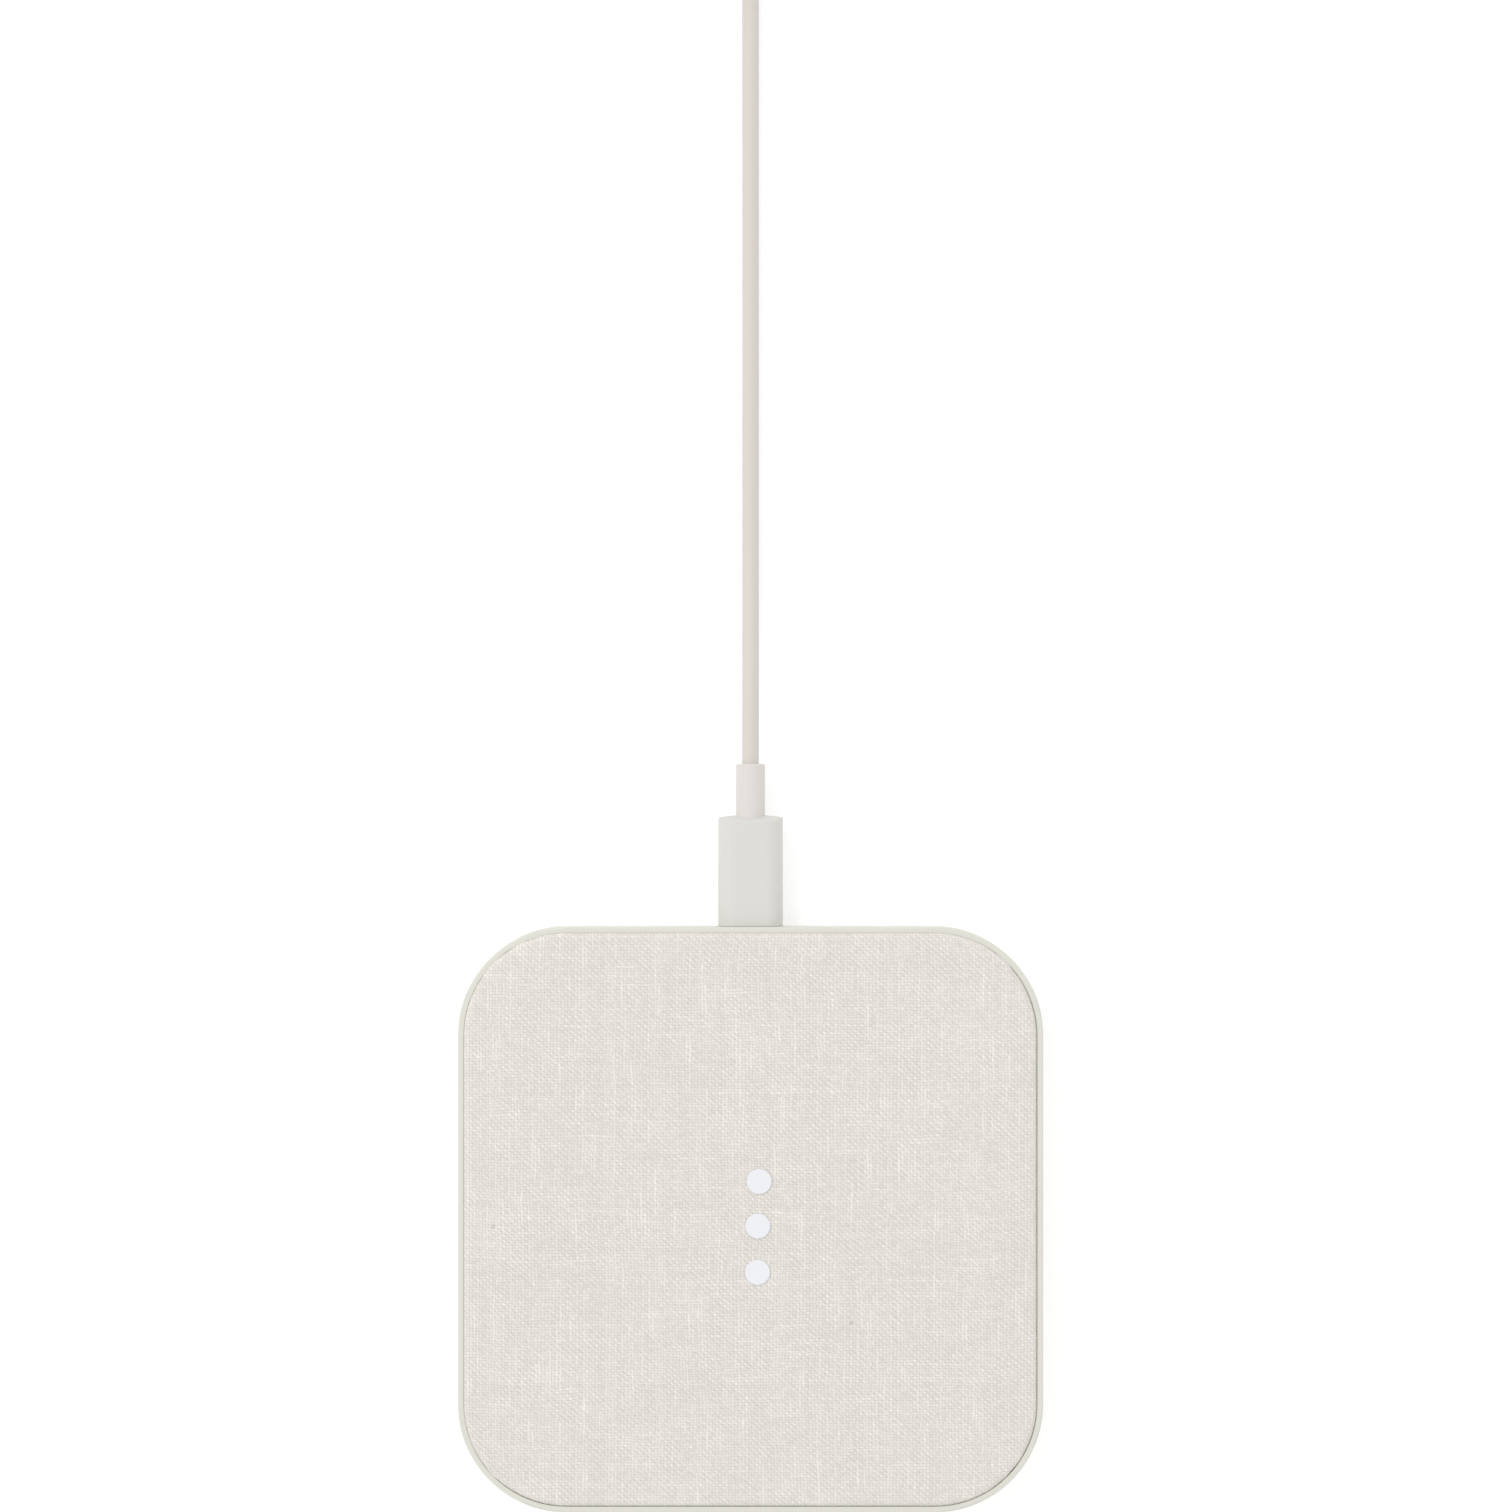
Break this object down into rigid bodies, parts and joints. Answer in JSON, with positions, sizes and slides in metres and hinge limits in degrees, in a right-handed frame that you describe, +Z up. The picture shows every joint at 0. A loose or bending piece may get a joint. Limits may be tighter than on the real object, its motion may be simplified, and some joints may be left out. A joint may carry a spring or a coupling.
{
  "type": "wireless charging pad",
  "caption": "Square wireless charging pad with rounded corners, stretched linen face, raised alignment dots, thin ivory rim and a detachable USB cord.",
  "frame": {"origin": "centre of the pad's underside, on the surface it stands on", "axes": "+Z up, +Y towards the back where the USB-C port is, +X to the right seen from above"},
  "size_m": [0.1, 0.3833, 0.0132],
  "materials": {
    "case": "smooth moulded ivory ABS, satin",
    "foot": "matt silicone",
    "film": "thin adhesive film",
    "steel": "nickel-plated steel",
    "panel": "moulded polycarbonate",
    "linen": "natural plain-weave linen",
    "dots": "raised white silicone",
    "copper": "enamelled copper litz wire",
    "ferrite": "dark ferrite",
    "sensor": "glass bead thermistor",
    "board": "green solder mask over glass-epoxy laminate",
    "chips": "moulded black epoxy",
    "capacitors": "tan ceramic with tinned ends",
    "insulator": "black liquid-crystal polymer",
    "contacts": "gold-plated copper alloy",
    "overmould": "satin off-white TPE",
    "cord": "smooth off-white TPE jacket",
    "tie": "hook-and-loop band"
  },
  "bodies": {
    "pad": {"case_tray": "case", "non_slip_foot": "foot", "foot_adhesive": "film", "case_screws": "steel", "top_panel": "panel", "linen_adhesive": "film", "linen_cover": "linen", "dot_rear": "dots", "dot_middle": "dots", "dot_front": "dots", "charging_coil": "copper", "coil_leads": "copper", "coil_film": "film", "ferrite_shield": "ferrite", "temperature_sensor": "sensor", "circuit_board": "board", "board_screws": "steel", "charge_controller": "chips", "bridge_mosfets": "chips", "resonant_capacitors": "capacitors", "input_inductor": "ferrite", "voltage_regulator": "chips", "ceramic_capacitors": "capacitors", "chip_resistors": "chips", "usb_c_receptacle_shell": "steel", "usb_c_receptacle_tongue": "insulator", "usb_c_receptacle_contacts": "contacts"},
    "cable": {"usb_c_plug_shell": "steel", "usb_c_plug_insert": "insulator", "usb_c_plug_contacts": "contacts", "usb_c_paddle_board": "board", "usb_c_housing": "overmould", "usb_c_strain_relief": "overmould", "cord_lead": "cord", "cord_coil": "cord", "cord_tail": "cord", "cord_tie": "tie", "usb_a_strain_relief": "overmould", "usb_a_housing": "overmould", "usb_a_shell": "steel", "usb_a_tongue": "insulator", "usb_a_contacts": "contacts"}
  },
  "joints": [
    {"name": "plug_pull", "type": "slide", "parent": "pad", "child": "cable", "axis": [0, 1, 0], "range_m": [0, 0.01]}
  ]
}
